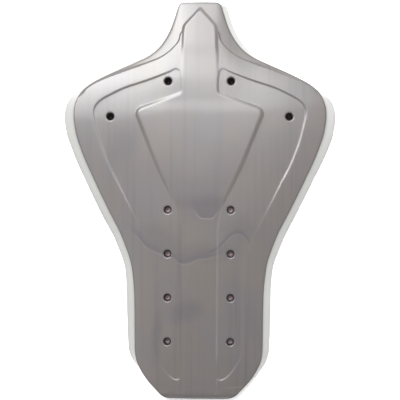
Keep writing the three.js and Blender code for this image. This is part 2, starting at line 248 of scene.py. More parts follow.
@dataclass(frozen=True)
class PadForm:
    """The form of the pad, in millimetres.

    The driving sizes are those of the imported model. The relief, the vents and the two
    sides of the wall are finer here. Places along the pad and the values in a table
    are shares, of the length and of the size that a column goes with.
    """

    length: float = 440
    half_width: float = 140
    face_height: float = 14
    crown_height: float = 4
    wall_flare: float = 11
    rim_round: float = 2.5
    rim_width: float = 9
    arch_height: float = 5
    panel_rise: float = 0.8
    panel_inset: float = 1.2
    panel_slope: float = 4.2
    panel_crisp: float = 0.35
    crisp_below: tuple[float, float] = (0.55, 0.48)
    crisp_above: tuple[float, float] = (0.86, 0.92)
    crisp_neck: float = 0.75
    panel_power: float = 1.6
    panel_half: float = 19
    panel_tip: float = 0.9818
    panel_tip_round: float = 0.08
    panel_wing: float = 70
    pocket_depth: float = 0.8
    pocket_ease: float = 0.5
    pocket_eased: tuple[float, float] = (0.66, 0.74)
    pocket_tuck: float = 4
    pocket_shallow: float = 22
    pocket_deep: float = 48
    pocket_slope: float = 1.6
    crease_step: float = 0.8
    crease_slope: float = 0.8
    crease_line: float = 0.6
    flange_fall: float = 2
    flange_power: int = 6
    edge_fall: float = 0.12
    neck_fall: float = 0.3
    neck_along: tuple[float, float] = (0.8, 0.9)
    edge_reach: float = 2.6
    shoulder_bend_y: float = 98
    shoulder_bend: float = 0.035
    shoulder_tilt: float = 0.06
    shoulder_ease: float = 4
    shoulder_across: tuple[float, float] = (0.12, 0.45)
    sill_rise: float = 0.25
    sill_along: float = 0.0135
    sill_spread: float = 0.8
    lip_blend: float = 0.08
    edge_blend: float = 0.2
    foot_blend: float = 0.25
    vent_diameter: float = 8
    vent_lip: float = 1.6
    vent_spacing: float = 69.5
    vent_pitch: float = 48.5
    lower_vents: int = 4
    first_vent_y: float = -10.7
    upper_vent_y: float = 131.3
    shoulder_vent: tuple[float, float] = (98.9, 92.4)
    spacing: float = 2.2
    edge: Table = Table.of(
        "half flare left right",
        (0, 0.235, 0, 0, 0),
        (0.0035, 0.27, 0, 0, 0),
        (0.0101, 0.301, 0, 0, 0),
        (0.0252, 0.347, 0, 0, 0),
        (0.0454, 0.404, 0.03, 0, 0.17),
        (0.0731, 0.462, 0.14, 0, 0.22),
        (0.0984, 0.495, 0.48, 0, 0.08),
        (0.1236, 0.505, 0.74, 0, -0.05),
        (0.25, 0.51, 0.88, 0, -0.13),
        (0.3253, 0.53, 0.86, -0.06, -0.18),
        (0.401, 0.604, 0.95, -0.09, -0.2),
        (0.4767, 0.722, 0.95, 0, -0.2),
        (0.5523, 0.837, 0.95, 0, -0.18),
        (0.628, 0.941, 0.98, 0, -0.08),
        (0.6784, 0.988, 1, 0.08, 0),
        (0.7137, 1, 1, 0.12, 0),
        (0.7289, 0.998, 0.95, 0.1, 0),
        (0.7465, 0.985, 0.8, 0.1, 0),
        (0.7717, 0.945, 0.4, 0.1, -0.15),
        (0.7894, 0.885, 0.15, 0.2, -0.15),
        (0.8071, 0.791, 0.05, 0.3, 0),
        (0.8285, 0.649, 0.05, 0.32, -0.05),
        (0.855, 0.463, 0.1, 0.15, -0.05),
        (0.8651, 0.401, 0.15, 0.08, 0.2),
        (0.8903, 0.311, 0.18, 0, 0.33),
        (0.9306, 0.234, 0.18, 0, 0.34),
        (0.9811, 0.18, 0.15, 0, 0.36),
        (0.9912, 0.171, 0.1, 0, 0.34),
        (0.9975, 0.155, 0, 0, 0),
        (1, 0.132, 0, 0, 0),
    )
    heights: Table = Table.of(
        "level crown hollow pocket panel step fall",
        (0, 0.76, 0.3, 0, 0.7, -0.1, 0.1, 0.1),
        (0.005, 0.93, 0.45, 0, 0.7, -0.2, 0.1, 0.1),
        (0.012, 1, 0.5, 0, 0.7, -0.3, 0.1, 0.1),
        (0.06, 1, 0.75, 0.5, 1.02, -1, 0.1, 0.1),
        (0.12, 1, 0.85, 0.8, 0.5, -1.4, 0.1, 0.1),
        (0.3, 1, 0.95, 1, 0.3, -1.3, 0.1, 0.1),
        (0.43, 1, 1, 1, 0.35, -1.2, 0.1, 0.1),
        (0.475, 1, 1, 1, 0.5, -0.8, 0.1, 0.1),
        (0.51, 1, 1, 1, 0.75, 0.3, 0.1, 0.1),
        (0.57, 1, 1, 1, 1, 0.75, 0.1, 0.15),
        (0.72, 1, 0.97, 0.97, 1, 0.75, 0.15, 0.5),
        (0.755, 1, 0.95, 0.95, 1, 0.3, 0.25, 0.6),
        (0.8, 1, 0.9, 0.9, 1, 0.3, 0.7, 0.8),
        (0.86, 0.96, 0.66, 0.55, 1, 0.5, 1, 0.25),
        (0.9, 0.92, 0.55, 0.4, 1, 1.2, 1, 0.1),
        (1, 0.76, 0.25, 0, 1, 1.5, 1, 0),
    )
    panel_arrow: tuple[tuple[float, float, float], ...] = (
        (0.925, 0.938, 0.2),
        (0.965, 0.767, 0.25),
    )
    panel_wide: tuple[tuple[float, float, float], ...] = (
        (0.995, 0.7245, 0.35),
        (0.66, 0.592, 0.5),
    )
    panel_band: tuple[tuple[float, float, float], ...] = (
        (1.05, 0.465, 1.2),
        (1.03, -0.06, 0),
    )
    pocket_edge: tuple[tuple[float, float], ...] = (
        ((0.144, 0.812), (0.149, 0.8215), (0.163, 0.829), (0.192, 0.832), (0.24, 0.8245))
        + ((0.396, 0.8053), (0.593, 0.7845), (0.712, 0.7667), (0.79, 0.7523), (0.836, 0.7345))
        + ((0.844, 0.716), (0.823, 0.6835), (0.787, 0.6406), (0.718, 0.585), (0.657, 0.5473))
        + ((0.554, 0.4817), (0.451, 0.4187), (0.396, 0.3733), (0.362, 0.3253), (0.352, 0.25))
        + ((0.348, 0.13), (0.32, 0.0958), (0.249, 0.0618), (0.182, 0.0472), (0.13, 0.052))
    )
    crease_edge: tuple[tuple[float, float], ...] = (
        ((0.1, 0.93), (0.143, 0.923), (0.166, 0.9), (0.206, 0.884), (0.249, 0.8713))
        + ((0.316, 0.858), (0.396, 0.8474), (0.665, 0.8171), (0.823, 0.7957), (0.902, 0.779))
        + ((0.96, 0.76), (1.3, 0.7))
    )

    def y_of(self, along: float) -> float:
        """Returns the y of a share of the pad's length."""
        return (along - 0.5) * self.length

    def along_of(self, y: Points) -> Points:
        """Returns the share of the pad's length of a y."""
        return y / self.length + 0.5

    def half_at(self, y: Points) -> Points:
        """Returns the half width of the face at a y."""
        return self.half_width * self.edge.at("half", self.along_of(y))

    def across(self, x: Points, y: Points) -> Points:
        """Returns the distance from the centre line as a share of the half width."""
        return np.minimum(1.1, np.abs(x) / self.half_at(y))

    def face(self, x: Points, y: Points) -> Points:
        """Works out the height of the crowned face, without its relief.

        Args:
            x: Places across the pad, in millimetres.
            y: Places along it.

        Returns:
            The heights.
        """
        along = self.along_of(y)
        crown = self.crown_height * self.heights.at("crown", along)
        level = self.face_height * self.heights.at("level", along)
        return level + crown * (1 - self.across(x, y) ** 2)

    def bend(self, x: Points, y: Points) -> Points:
        """Works out how far the shoulders bend down above the widest part.

        Args:
            x: Places across the pad, in millimetres.
            y: Places along it.

        Returns:
            How far down the face lies.
        """
        past = y - self.shoulder_bend_y - self.shoulder_tilt * x
        beyond = 0.5 * (past + np.sqrt(past**2 + self.shoulder_ease**2))
        outer = smoothstep(*self.shoulder_across, np.abs(x) / self.half_width)
        return self.shoulder_bend * beyond * outer

    def lowering(self, face: Points, drop: Points, side: Points) -> Points:
        """Returns the change that a recess makes, with its side's height off the face."""
        lowered = smooth_max(face - drop, face + side, self.foot_blend)
        return smooth_min(face, lowered, self.edge_blend) - face

    def sill(self, y: Points) -> Points:
        """Returns the height of the low bead along the bottom edge."""
        off = y - self.y_of(self.sill_along)
        return self.sill_rise * np.exp(-(off**2) / self.sill_spread)

    def edge_outline(self) -> Outline:
        """Draws the edge of the face.

        Returns:
            The outline.
        """
        along = np.unique(np.concatenate([np.linspace(0, 1, 400), self.edge.along]))
        half = self.half_width * self.edge.at("half", along)
        right = np.stack([half, self.y_of(along)], 1)
        left = right[::-1] * (-1, 1)
        return Outline(np.vstack([right, left]), self.spacing)

    def panel_outline(self) -> Outline:
        """Draws the top edge of the raised panel.

        Returns:
            The outline.
        """
        right = [(0, self.y_of(self.panel_tip), self.panel_tip_round * self.panel_half)]
        rows = [(self.panel_half, self.panel_arrow), (self.panel_wing, self.panel_wide)]
        rows.append((self.panel_half, self.panel_band))
        for size, corners in rows:
            for wide, along, radius in corners:
                right.append((size * wide, self.y_of(along), radius * self.panel_half))
        left = [(-x, y, radius) for x, y, radius in right[1:]]
        return Outline(rounded(right[::-1] + left, 8), self.spacing)

    def curve(self, rows: Sequence[tuple[float, float]], side: Side) -> Points:
        """Draws a smooth curve through a table's rows on one side of the pad."""
        places = [(side.value * half * self.half_width, self.y_of(a)) for half, a in rows]
        return catmull_rom(np.array(places), 8)

    def pocket_outline(self, side: Side) -> Outline:
        """Draws the edge of a pocket, whose inner side lies under the panel.

        Args:
            side: The side of the pad that it is on.

        Returns:
            The outline.
        """
        edge = self.curve(self.pocket_edge, side)
        hidden = side.value * self.panel_half
        inner = [(hidden, edge[-1, 1]), (hidden, edge[0, 1] - self.pocket_tuck)]
        return Outline(np.vstack([edge, inner]), self.spacing)

    def body_outline(self) -> Outline:
        """Draws the edge of what stands above the flange.

        Returns:
            The outline.
        """
        right = self.curve(self.crease_edge, Side.RIGHT)
        foot = np.array([(right[-1, 0], -self.length)])
        right = np.vstack([right, foot])
        return Outline(np.vstack([right, right[::-1] * (-1, 1)]), self.spacing)

    def vents(self) -> list[tuple[float, float]]:
        """Places the vents.

        Returns:
            Their centres in plan, those beside the neck first.
        """
        x = self.vent_spacing / 2
        places = [(x, self.upper_vent_y), self.shoulder_vent]
        for row in range(self.lower_vents):
            places.append((x, self.first_vent_y - row * self.vent_pitch))
        return [(side.value * x, y) for x, y in places for side in Side]


@dataclass
class FoamPad:
    """The moulded pad: its mesh, its skin and its place on the CAD node.

    Lengths are in millimetres.

    Attributes:
        form: The pad's form and sizes.
        name: The name of the piece.
        node: The CAD node that it stands for.
        vent_sides: Chords round a vent.
        vent_rings: How far round a vent's lip rings of points follow it.
        vent_clear: How far from a vent's lip other points stay.
        vent_foot: How much a vent widens at the rear.
        hole_share: Share of a vent's radius that its chords reach in to.
        fill_step: Spacing of the points between the relief's edges.
        fill_gap: The least gap between those and the others, as a share of it.
        point_gap: The least gap between the points that follow the relief.
        grid_half: Half the width and length that the points between them cover.
        waviness: How far the moulded face departs from true.
        waves: Width, length, place in the noise and share of each kind of wave.
        lip_inset: How far inside the edge the face starts to round over.
        groove: Depth of the parting groove under the face's edge.
        web: Width of the hole in a vent's web, as a share of the vent's. The web is a sheet
            inside the vent that stands in for the shade deep in the hole.
        crease_shade: How dark the shade painted along the crease is.
        foot_shade: How dark the shade painted along the bottom edge is.
        foot_along: Where that line lies.
        foot_reach: Its width.
        rim_shade: How dark the shade painted along the face's edge is.
        neck_shade: How much more shade is painted along the face's edge at the neck.
        rim_reach: Its width.
        wall_painted_shade: How much shade is painted on the side wall at each of its loops, from
            the face down: along the face's rounded edge and the groove under it, and more
            towards the floor.
        weld: How close points are merged, in metres.
    """

    form: PadForm = field(default_factory=PadForm)
    name: str = "foam_pad"
    node: str = "protector_pad"
    vent_sides: int = 32
    vent_rings: tuple[float, ...] = (0.7, 1.8)
    vent_clear: float = 0.3
    vent_foot: float = 0.6
    hole_share: float = 0.995
    fill_step: float = 3.6
    fill_gap: float = 0.62
    point_gap: float = 0.32
    grid_half: tuple[float, float] = (160, 222)
    waviness: float = 0.12
    waves: tuple[tuple[float, ...], ...] = ((46, 60, 3.7, 1), (17, 21, 9.1, 0.3))
    lip_inset: float = 0.9
    groove: float = 0.8
    web: float = 0.15
    crease_shade: float = 0.55
    foot_shade: float = 0.65
    foot_along: float = 0.002
    foot_reach: float = 2.2
    rim_shade: float = 0.3
    neck_shade: float = 0.4
    rim_reach: float = 0.7
    wall_painted_shade: tuple[float, ...] = (
        (0.25, 0.55, 0.8, 0.9, 1, 1, 1, 0.7, 0.1) + (0, 0, 0.03, 0.07) + (0.14, 0.2, 0.26, 0.3)
    )
    weld: float = 2e-6

    def __post_init__(self) -> None:
        """Draws the outlines that the relief is worked out from."""
        form = self.form
        self.edge = form.edge_outline()
        self.panel = form.panel_outline()
        self.pockets = [form.pocket_outline(side) for side in Side]
        self.body = form.body_outline()
        self.vertices: list[Points] = []
        self.marks: list[dict[Mark, Points]] = []
        self.faces: list[tuple[int, ...]] = []
        self.count = 0

    def height(self, places: Points) -> Points:
        """Works out the height of the moulded face.

        Args:
            places: Points in plan, in millimetres.

        Returns:
            Their heights.
        """
        form = self.form
        x, y = places.T
        along = form.along_of(y)
        face = form.face(x, y) - form.bend(x, y) + form.sill(y)
        near_panel = smoothstep(form.pocket_deep, form.pocket_shallow, np.abs(x))
        shallow = 1 - form.pocket_ease * near_panel * smoothstep(*form.pocket_eased, along)
        depth = form.pocket_depth * form.heights.at("pocket", along) * shallow
        level = face
        for pocket in self.pockets:
            side = depth / form.pocket_slope * pocket.distance(places)
            level = level + form.lowering(face, depth, side)
        outer = form.heights.at("fall", along) * form.across(x, y) ** form.flange_power
        fall = form.crease_step * form.heights.at("step", along) + form.flange_fall * outer
        side = -form.crease_step / form.crease_slope * self.body.distance(places)
        level = level + form.lowering(face, fall, side)
        off = face + form.panel_rise * form.heights.at("panel", along) - level
        crisp = smoothstep(*form.crisp_below, along)
        crisp = crisp + form.crisp_neck * smoothstep(*form.crisp_above, along)
        slope = form.panel_slope * (1 - form.panel_crisp * crisp)
        outside = (self.panel.distance(places) + form.panel_inset) / slope
        lip = np.maximum(smooth_min(outside, np.ones(1), form.lip_blend), 0)
        near = np.maximum(0, 1 + self.edge.distance(places) / form.edge_reach)
        fall = form.edge_fall + form.neck_fall * smoothstep(*form.neck_along, along)
        level = level + off * (1 - lip**form.panel_power) - fall * near**2
        return level + self.unevenness(places)

    def crease(self, places: Points) -> Points:
        """Works out the shade painted along the crease, the face's edge and the bottom edge.

        Args:
            places: Points in plan on the face.

        Returns:
            The strength of the painted shade there.
        """
        form = self.form
        along = form.along_of(places[:, 1])
        step = np.clip(form.heights.at("step", along), 0, 1)
        line = np.exp(-((self.body.distance(places) / form.crease_line - 0.5) ** 2))
        clear = self.panel.distance(places) > form.panel_slope - form.panel_inset
        foot = np.exp(-(((along - self.foot_along) * form.length / self.foot_reach) ** 2))
        rim = np.exp(-(((self.edge.distance(places) + self.lip_inset) / self.rim_reach) ** 2))
        rim_shade = self.rim_shade + self.neck_shade * smoothstep(*form.neck_along, along)
        dark = self.crease_shade * step * line * clear + self.foot_shade * foot
        return np.clip(dark + rim_shade * rim, 0, 1)

    def unevenness(self, places: Points) -> Points:
        """Works out the slow unevenness of a foam moulding's face.

        Args:
            places: Points in plan, in millimetres.

        Returns:
            How far the face departs from true there.
        """
        total = np.zeros(len(places))
        for wide, long, seed, share in self.waves:
            heights = [noise.noise(Vector((x / wide, y / long, seed))) for x, y in places]
            total += share * np.array(heights)
        return self.waviness * total

    def rear_height(self, places: Points) -> Points:
        """Works out the height of the hollow rear.

        Args:
            places: Points in plan, in millimetres.

        Returns:
            Their heights.
        """
        form = self.form
        shrink = 1 - 2 * form.rim_width / form.length
        y = places[:, 1] / shrink
        half = form.half_at(y)
        inset = form.rim_width * np.minimum(1, half / (3 * form.rim_width))
        across = np.minimum(1, np.abs(places[:, 0]) / (half - inset))
        inside = (np.abs(y) <= form.length / 2).astype(float)
        hollow = form.arch_height * form.heights.at("hollow", form.along_of(y))
        return hollow * (1 - across**2) * inside

    def add(
        self,
        points: Points,
        faces: Sequence[Sequence[int]],
        marks: dict[Mark, Points] | None = None,
    ) -> None:
        """Adds faces over points of their own to the mesh.

        Args:
            points: The points.
            faces: The faces, as places in the list of points.
            marks: Strengths at the points of the marks that aren't 0 all over.
        """
        self.vertices.append(points)
        self.marks.append(marks or {})
        self.faces += [tuple(self.count + int(i) for i in face) for face in faces]
        self.count += len(points)

    def circle(self, centre: tuple[float, float], radius: float) -> Points:
        """Returns the points of a vent's ring in plan."""
        angle = np.arange(self.vent_sides) * 2 * math.pi / self.vent_sides
        return np.array(centre) + radius * np.stack([np.cos(angle), np.sin(angle)], 1)

    def sheet(
        self,
        rim: Points,
        vent_radius: float,
        rings: Sequence[Points],
        height: Callable[[Points], Points],
        up: bool,
        step: float,
    ) -> None:
        """Adds a surface that fills a rim, with a hole at each vent.

        Args:
            rim: The closed edge in plan.
            vent_radius: Radius of the holes.
            rings: Points that follow the relief, the most important first.
            height: Gives the surface's height over points in plan.
            up: Whether the surface faces up.
            step: Spacing of the points between the rings.
        """
        outline = Outline(rim, self.form.spacing)
        holes = [self.circle(vent, vent_radius) for vent in self.form.vents()]
        kept = [*rim, *np.vstack(holes)]
        closer = []
        for vent in self.form.vents():
            closer += [self.circle(vent, vent_radius + off) for off in self.vent_rings]
        for ring in [*closer, *rings]:
            kept = self.thinned(kept, ring, outline, vent_radius, self.point_gap)
        wide, long = self.grid_half
        x = np.arange(-wide, wide, step)
        y = np.arange(-long, long, step * math.sqrt(3) / 2)
        grid = np.array([(a + (j % 2) * step / 2, b) for j, b in enumerate(y) for a in x])
        kept = self.thinned(kept, grid, outline, vent_radius, step * self.fill_gap)
        edges = [(i, (i + 1) % len(rim)) for i in range(len(rim))]
        first = len(rim)
        for hole in holes:
            n = len(hole)
            edges += [(first + i, first + (i + 1) % n) for i in range(n)]
            first += n
        places, _, triangles, *_ = delaunay_2d_cdt(
            [Vector(p) for p in kept], edges, [], 0, 1e-6, False
        )
        places, triangles = np.array([tuple(p) for p in places]), np.array(triangles)
        middle = places[triangles].mean(1)
        inside = outline.distance(middle) < 0
        for vent in self.form.vents():
            inside &= np.linalg.norm(middle - vent, axis=1) > vent_radius * self.hole_share
        triangles = triangles[inside]
        a, b, c = (places[triangles[:, k]] for k in range(3))
        area = np.cross(np.pad(b - a, ((0, 0), (0, 1))), np.pad(c - a, ((0, 0), (0, 1))))
        wrong = (area[:, 2] < 0) == up
        triangles[wrong] = triangles[wrong][:, ::-1]
        # Painted shade along the crease, the face's edge and the bottom edge
        marks = {Mark.LINE: self.crease(places)} if up else {}
        self.add(np.column_stack([places, height(places)]), triangles, marks)

    def thinned(
        self,
        kept: list[Points],
        ring: Points,
        outline: Outline,
        vent_radius: float,
        gap: float,
    ) -> list[Points]:
        """Adds the points of a ring that have room among those kept already.

        Args:
            kept: The points so far.
            ring: The points to add.
            outline: The edge that they have to lie inside.
            vent_radius: Radius of the vents, which they have to lie outside.
            gap: The least distance to the points so far.

        Returns:
            The points so far and those added.
        """
        clear = outline.distance(ring) < -gap
        for vent in self.form.vents():
            clear &= np.linalg.norm(ring - vent, axis=1) > vent_radius + self.vent_clear
        tree = KDTree(len(kept))
        for i, (x, y) in enumerate(kept):
            tree.insert((x, y, 0), i)
        tree.balance()
        added = [p for p in ring[clear] if tree.find((p[0], p[1], 0))[2] > gap]
        return kept + added

    def relief_rings(self) -> list[Points]:
        """Draws the rings of points that follow each edge of the relief.

        Returns:
            The rings, the most important first.
        """
        panel_steps = (3, 2.6, 3.4, 2.1, -1.2, 1.5, 0.9, 0.2, -0.5, -2, 3.9)
        pocket_steps = (0, -0.45, 0.45, -0.95, -1.4, -1.8, -2.3, 1.1, -3)
        crease_steps = (0, 0.4, -0.4, 0.8, 1.2, 1.7, -1, 2.4)
        edge_steps = (1.6, 2.4, 3.4, 3.4 + self.form.spacing)
        hidden = 0.5  # points less than this outside the panel's edge are left out
        lower = [pocket.ring(step) for step in pocket_steps for pocket in self.pockets]
        lower += [self.body.ring(step) for step in crease_steps]
        rings = [self.panel.ring(step) for step in panel_steps]
        rings += [ring[self.panel.distance(ring) > hidden] for ring in lower]
        return rings + [self.edge.ring(-step) for step in edge_steps]

    def wall_loops(self) -> list[Points]:
        """Draws the loops of the side wall, from the face's edge down to the rim.

        Returns:
            The loops, anticlockwise, the highest first.
        """
        form = self.form
        x, y = self.edge.points.T
        face = self.height(self.edge.points - self.lip_inset * self.edge.normals)
        along = form.along_of(y)
        more = np.where(x > 0, form.edge.at("right", along), form.edge.at("left", along))
        flare = form.wall_flare * (form.edge.at("flare", along) + more)
        foot = -2.7  # the groove ends that far below the face
        # How far out, share of the flare, height off the face and share of the way down
        profile = [
            (-self.lip_inset, 0, 0, 0),
            (-0.5, 0, -0.08, 0),
            (-0.18, 0, -0.32, 0),
            (0, 0, -0.75, 0),
            (0, 0, -1.2, 0),
            (-self.groove * 0.8, 0, -1.55, 0),
            (-self.groove, 0, -2, 0),
            (-self.groove * 0.5, 0.02, -2.4, 0),
            (0.1, 0.06, foot, 0.03),
            (0.15, 0.3, foot, 0.3),
            (0.2, 0.6, foot, 0.62),
            (0.1, 0.86, foot, 0.9),
            (0, 1, foot, 1),
        ]
        loops = []
        for out, share, off, down in profile:
            start = face + off
            z = start + (form.rim_round - start) * down
            move = (out + share * flare)[:, None]
            loops.append(np.column_stack([self.edge.points + move * self.edge.normals, z]))
        # How far in and how high the rounding under the wall is, as shares of its size
        for share, z in ((0.08, 0.62), (0.3, 0.3), (0.62, 0.08), (1, 0)):
            move = (flare - share * form.rim_round)[:, None]
            plan = self.edge.points + move * self.edge.normals
            loops.append(np.column_stack([plan, np.full(len(plan), z * form.rim_round)]))
        return loops

    def band(self, loops: Sequence[Points], marks: dict[Mark, Sequence[float]]) -> None:
        """Adds the faces between loops.

        Args:
            loops: The loops, anticlockwise, the highest first.
            marks: Strengths of the marks, for each loop or each of its points.
        """
        n = len(loops[0])
        faces = []
        for k in range(len(loops) - 1):
            for i in range(n):
                j = (i + 1) % n
                faces.append((k * n + i, (k + 1) * n + i, (k + 1) * n + j, k * n + j))
        spread = {}
        for mark, values in marks.items():
            rows = np.reshape(values, (len(loops), -1))
            spread[mark] = np.broadcast_to(rows, (len(loops), n)).ravel()
        self.add(np.vstack(loops), faces, spread)

    def vent(self, centre: tuple[float, float]) -> None:
        """Adds the wall of a vent, from its rounded lip to the rear, with a web partway down: a
        sheet that stands in for the shade deep in the hole.

        Args:
            centre: The vent's centre in plan, in millimetres.
        """
        radius, lip = self.form.vent_diameter / 2, self.form.vent_lip
        rim = self.circle(centre, radius + lip)
        top = self.height(rim)
        turns = np.linspace(0, math.pi / 2, 6)
        loops = []
        for turn in turns:
            plan = self.circle(centre, radius + lip * (1 - math.sin(turn)))
            loops.append(np.column_stack([plan, top - lip * (1 - math.cos(turn))]))
        outlet = self.circle(centre, radius + self.vent_foot)
        foot = self.rear_height(outlet)
        start = loops[-1][:, 2]
        # The web narrows the vent partway down to a small hole: a sheet that stands in for the
        # shade deep in the vent.
        web = self.web
        for share, wide in ((0.3, 1), (0.45, 1), (0.5, web), (0.6, web), (0.7, 1), (1, 1)):
            z = start + (foot + self.vent_foot - start) * share
            loops.append(np.column_stack([self.circle(centre, radius * wide), z]))
        loops.append(np.column_stack([outlet, foot]))
        # Painted shade, growing darker down the vent
        dark = np.clip(np.arange(len(loops)) / (len(turns) - 1), 0, 1) ** 3
        pale = np.zeros(len(loops))
        first_web = len(turns) + 2
        if centre[1] < 0:  # only the webs of the lower vents are painted pale: painted light for the light that reaches down those vents
            pale[first_web : first_web + 2] = 1
        marks = {Mark.VENT: dark, Mark.WEB: pale}
        self.band([loop[::-1] for loop in loops], marks)

    def build(self) -> bpy.types.Object:
        """Builds the pad's mesh.

        Returns:
            The piece, at the origin.
        """
        loops = self.wall_loops()
        radius = self.form.vent_diameter / 2
        top_rim, sole = loops[0][:, :2], loops[-1][:, :2]
        lip = radius + self.form.vent_lip
        self.sheet(top_rim, lip, self.relief_rings(), self.height, True, self.fill_step)
        inner = [Outline(sole, self.form.spacing).ring(-step) for step in (2, 6.5, 8, 10)]
        outlet = radius + self.vent_foot
        self.sheet(sole, outlet, inner, self.rear_height, False, 2 * self.fill_step)
        groove_loop, wall_loop = 6, 8  # the side wall's painted light sets in between these
        share = (np.arange(len(loops)) - groove_loop) / (wall_loop - groove_loop)
        # Painted light: the side wall is coloured paler than the face, for the bright floor that
        # it reflects.
        wall = np.clip(share, 0, 1)
        # Painted shade on the side wall, and along the crease and the face's edge on its top
        # loop
        line = np.tile(self.wall_painted_shade, (len(top_rim), 1)).T
        line[0] = self.crease(top_rim)
        self.band(loops, {Mark.WALL: wall, Mark.LINE: line})
        for centre in self.form.vents():
            self.vent(centre)
        mesh = bpy.data.meshes.new(self.name)
        mesh.from_pydata((np.vstack(self.vertices) * MM).tolist(), [], self.faces)
        self.store_marks(mesh)
        pad = bpy.data.objects.new(self.name, mesh)
        bpy.context.scene.collection.objects.link(pad)
        work = bmesh.new()
        work.from_mesh(mesh)
        bmesh.ops.remove_doubles(work, verts=work.verts, dist=self.weld)
        bmesh.ops.recalc_face_normals(work, faces=work.faces)
        open_edges = sum(not edge.is_manifold for edge in work.edges)
        work.to_mesh(mesh)
        work.free()
        mesh.shade_smooth()
        LOG.info("%s: %d faces, %d open edges", self.name, len(mesh.polygons), open_edges)
        return pad

    def store_marks(self, mesh: bpy.types.Mesh) -> None:
        """Stores the marks as attributes of the mesh's points.

        Args:
            mesh: The pad's mesh, before its doubles are merged.
        """
        for mark in Mark:
            parts = []
            for points, marks in zip(self.vertices, self.marks):
                parts.append(marks.get(mark, np.zeros(len(points))))
            attribute = mesh.attributes.new(mark.value, "FLOAT", "POINT")
            attribute.data.foreach_set("value", np.concatenate(parts))

    def dress(self, pad: bpy.types.Object) -> None:
        """Gives the pad its skin, hangs it on the root body and hides the CAD node.

        Args:
            pad: The piece.
        """
        pad.data.materials.append(MouldedSkin().material())
        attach(pad, "root")
        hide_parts(self.node)

    def make(self) -> bpy.types.Object:
        """Builds and dresses the pad.

        Returns:
            The piece.
        """
        pad = self.build()
        self.dress(pad)
        return pad


def linear(code: str) -> tuple[float, float, float, float]:
    """Turns an sRGB hex colour into linear light.

    Args:
        code: The colour, such as "#8c8986".

    Returns:
        Red, green, blue and alpha.
    """
    parts = [int(code[i : i + 2], 16) / 255 for i in (1, 3, 5)]
    light = [c / 12.92 if c <= 0.04045 else ((c + 0.055) / 1.055) ** 2.4 for c in parts]
    return (*light, 1.0)


def add_node(
    tree: bpy.types.NodeTree,
    kind: str,
    settings: dict[str | int, object] | None = None,
    links: dict[str | int, bpy.types.NodeSocket] | None = None,
) -> bpy.types.Node:
    """Adds a node to a tree.

    Args:
        tree: The material's or world's node tree.
        kind: The node's type name, after the start that all of them share.
        settings: Values of its properties, or of its inputs by name or place.
        links: Output sockets to link, by the name or place of the input.

    Returns:
        The node.
    """
    node = tree.nodes.new("ShaderNode" + kind)
    for name, value in (settings or {}).items():
        if isinstance(name, str) and hasattr(node, name):
            setattr(node, name, value)
        else:
            node.inputs[name].default_value = value
    for name, socket in (links or {}).items():
        tree.links.new(socket, node.inputs[name])
    return node


@dataclass(frozen=True)
class Stain:
    """A soft, darker patch that the flow of the foam left in the skin.

    Attributes:
        place: Its centre, in millimetres.
        size: Its half length and half width, in millimetres.
        turn: The turn of its length from the x axis, in degrees.
        strength: How strongly it shows in its middle.
    """

    place: tuple[float, float]
    size: tuple[float, float]
    turn: float
    strength: float


@dataclass(frozen=True)
class FlowFront:
    """A wavy front where the rising foam paused: dark above, a thin pale line below.

    Attributes:
        path: Places along its edge from left to right, in millimetres.
        reach: How far up the dark tone fades out, in millimetres.
        dark: Strength of the dark tone.
        pale: Strength of the pale line.
        edge: Softness of its edge, in millimetres.
        line: Width of the pale line, in millimetres.
        fade: Length over which its ends fade, in millimetres.
    """

    path: tuple[tuple[float, float], ...]
    reach: float
    dark: float
    pale: float
    edge: float = 1.2
    line: float = 2.2
    fade: float = 9

    def tones(
        self, tree: bpy.types.NodeTree, place: bpy.types.NodeSocket
    ) -> list[bpy.types.NodeSocket]:
        """Adds the front's tones.

        Args:
            tree: The material's nodes.
            place: Where on the pad the skin is, in metres.

        Returns:
            How dark and how pale the front makes the skin.
        """
        xs, ys = (np.array(column) for column in zip(*self.path))
        low, span = ys.min(), max(np.ptp(ys), 1)
        split = add_node(tree, "SeparateXYZ", links={"Vector": place})
        x, y = split.outputs["X"], split.outputs["Y"]
        width = {"From Min": xs[0] * MM, "From Max": xs[-1] * MM}
        share = add_node(tree, "MapRange", width, {"Value": x})
        bent = add_node(tree, "FloatCurve", links={"Value": share.outputs[0]})
        curve = bent.mapping.curves[0]
        spots = [((a - xs[0]) / np.ptp(xs), (b - low) / span) for a, b in zip(xs, ys)]
        curve.points[0].location, curve.points[1].location = spots[0], spots[-1]
        for spot in spots[1:-1]:
            curve.points.new(*spot)
        bent.mapping.update()
        rise = {"To Min": low * MM, "To Max": (low + span) * MM}
        edge = add_node(tree, "MapRange", rise, {"Value": bent.outputs[0]})
        links = {0: y, 1: edge.outputs[0]}
        over = add_node(tree, "Math", {"operation": "SUBTRACT"}, links).outputs[0]
        half = self.edge / 2
        ends = [(x, xs[0], xs[0] + self.fade), (x, xs[-1], xs[-1] - self.fade)]
        above = [(over, -self.edge, self.edge), (over, self.reach, 0)]
        below = [(over, half, -half), (over, -half - self.line, -half)]
        tones = []
        for strength, ramps in ((self.dark, above), (self.pale, below)):
            tone = None
            for value, start, stop in ends + ramps:
                limits = {"From Min": start * MM, "From Max": stop * MM}
                limits["To Max"] = strength if tone is None else 1.0
                limits["interpolation_type"] = "SMOOTHSTEP"
                step = add_node(tree, "MapRange", limits, {"Value": value}).outputs[0]
                if tone is not None:
                    both = {0: tone, 1: step}
                    step = add_node(tree, "Math", {"operation": "MULTIPLY"}, both).outputs[0]
                tone = step
            tones.append(tone)
        return tones


